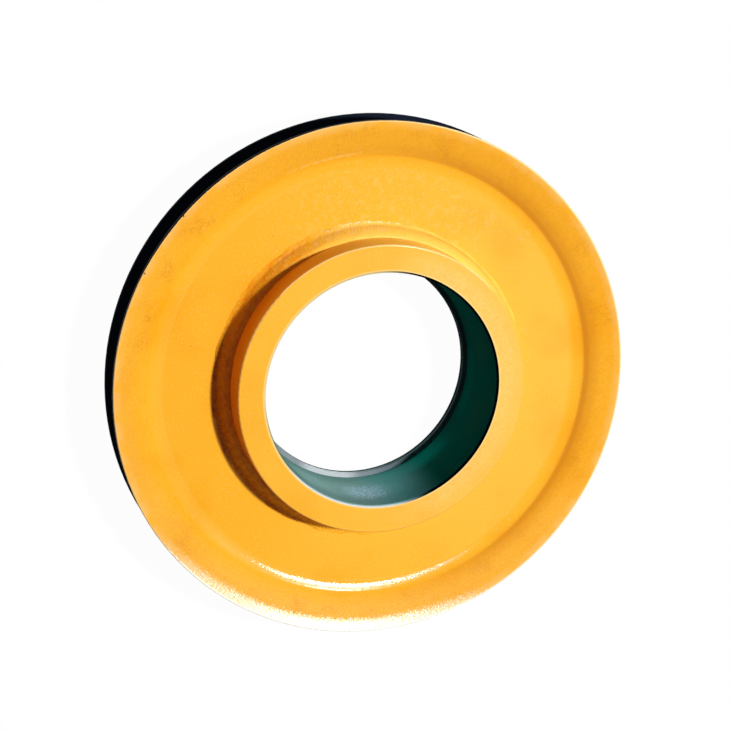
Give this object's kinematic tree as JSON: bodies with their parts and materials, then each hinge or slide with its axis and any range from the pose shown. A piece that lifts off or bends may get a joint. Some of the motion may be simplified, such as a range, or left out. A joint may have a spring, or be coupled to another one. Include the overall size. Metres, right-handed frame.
{
  "type": "wire rope sheave",
  "caption": "Welded wire rope sheave: a rolled disc with a rope groove, fillet welded to a bored hub ring that takes a bearing.",
  "frame": {"origin": "on the bore axis, in the middle plane of the rope groove", "axes": "+Z along the bore axis, out of the open mouth of the bearing seat; the sheave lies on the hub's rear end face"},
  "size_m": [0.4, 0.4, 0.08],
  "materials": {
    "disc_paint": "semi-gloss yellow enamel, rope groove and rim edge left bare and black",
    "hub_paint": "semi-gloss yellow enamel, bearing seat machined, bare and oiled",
    "weld_paint": "semi-gloss yellow enamel over a rough weld bead"
  },
  "bodies": {
    "root": {"rolled_disc": "disc_paint", "hub": "hub_paint", "front_weld": "weld_paint", "rear_weld": "weld_paint"}
  },
  "joints": []
}
